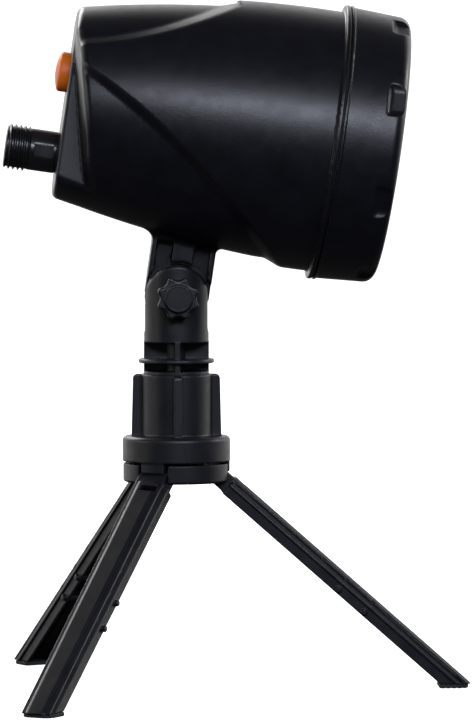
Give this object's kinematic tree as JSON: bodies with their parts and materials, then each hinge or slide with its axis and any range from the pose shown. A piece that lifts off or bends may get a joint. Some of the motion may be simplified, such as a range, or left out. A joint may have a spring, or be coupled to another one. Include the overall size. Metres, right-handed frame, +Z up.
{
  "type": "light projector",
  "caption": "Round outdoor light projector head on a friction-tilt neck that lifts out of a folding tripod, with a rear push button and a threaded low-voltage power inlet.",
  "frame": {"origin": "centre of the base of the whole object's bounding box, on the ground under the spread feet", "axes": "+Z up; +X the way the lamp head points; +Y to the head's left. The tripod's own axis is vertical at x = -28.52 mm, y = 0."},
  "size_m": [0.2182, 0.2438, 0.3199],
  "materials": {
    "housing_plastic": "satin moulded black",
    "mount_plastic": "fine-grained moulded charcoal",
    "inlet_plastic": "smooth black",
    "inner_plastic": "matt black",
    "gasket_rubber": "matt black",
    "foot_rubber": "matt black",
    "button_rubber": "soft satin orange",
    "clear_lens": "clear polished",
    "optic_clear": "clear polished",
    "pattern_clear": "clear faceted",
    "sink_aluminium": "machined",
    "motor_steel": "plated",
    "fastener_steel": "zinc plated",
    "contact_brass": "plain",
    "board_green": "solder mask",
    "led_phosphor": "smooth",
    "wire_sleeve": "smooth red"
  },
  "bodies": {
    "base": {"tripod_socket": "mount_plastic", "hub_base": "mount_plastic", "hub_screws": "fastener_steel", "leg_pins": "fastener_steel"},
    "neck": {"neck": "mount_plastic", "tilt_bolt": "fastener_steel", "knob_washer": "fastener_steel"},
    "knob": {"tilt_knob": "mount_plastic", "knob_nut": "contact_brass"},
    "pattern": {"pattern_disc": "pattern_clear", "disc_spindle": "fastener_steel"},
    "button": {"push_button": "button_rubber"},
    "leg_front": {"leg_front": "mount_plastic", "foot_front": "foot_rubber"},
    "leg_rear_left": {"leg_rear_left": "mount_plastic", "foot_rear_left": "foot_rubber"},
    "leg_rear_right": {"leg_rear_right": "mount_plastic", "foot_rear_right": "foot_rubber"},
    "head": {"rear_housing": "housing_plastic", "front_bezel": "housing_plastic", "seam_gasket": "gasket_rubber", "lens_gasket": "gasket_rubber", "inlet_seal": "gasket_rubber", "lens_retainer": "inner_plastic", "front_lens": "clear_lens", "heat_sink": "sink_aluminium", "led_board": "board_green", "board_screws": "fastener_steel", "board_standoffs": "inner_plastic", "leds": "led_phosphor", "collimators": "optic_clear", "lens_plate": "inner_plastic", "projection_lenses": "optic_clear", "drive_motor": "motor_steel", "control_board": "board_green", "tact_switch": "inner_plastic", "power_inlet": "inlet_plastic", "inlet_contacts": "contact_brass", "inlet_nut": "contact_brass", "inlet_wires": "wire_sleeve", "led_wires": "wire_sleeve"}
  },
  "joints": [
    {"name": "neck_lift", "type": "slide", "parent": "base", "child": "neck", "axis": [0, 0, 1], "range_m": [0, 0.05]},
    {"name": "head_tilt", "type": "hinge", "parent": "neck", "child": "head", "pos_m": [-0.02851, 0, 0.1825], "axis": [0, 1, 0], "range_deg": [-60, 45]},
    {"name": "knob_turn", "type": "hinge", "parent": "neck", "child": "knob", "pos_m": [-0.02851, 0, 0.1825], "axis": [0, -1, 0], "continuous": true},
    {"name": "pattern_spin", "type": "hinge", "parent": "head", "child": "pattern", "pos_m": [0.0543, 0, 0.2524], "axis": [0.9898, 0, -0.1426], "continuous": true},
    {"name": "button_press", "type": "slide", "parent": "head", "child": "button", "axis": [0.9898, 0, -0.1426], "range_m": [0, 0.0012], "stiffness_N_per_m": 500, "springref_m": -0.001},
    {"name": "leg_front_fold", "type": "hinge", "parent": "base", "child": "leg_front", "pos_m": [-0.01102, 0, 0.101], "axis": [0, 1, 0], "range_deg": [0, 45]},
    {"name": "leg_rear_left_fold", "type": "hinge", "parent": "base", "child": "leg_rear_left", "pos_m": [-0.03726, 0.01516, 0.101], "axis": [-0.866, -0.5, 0], "range_deg": [0, 45]},
    {"name": "leg_rear_right_fold", "type": "hinge", "parent": "base", "child": "leg_rear_right", "pos_m": [-0.03726, -0.01516, 0.101], "axis": [0.866, -0.5, 0], "range_deg": [0, 45]}
  ]
}
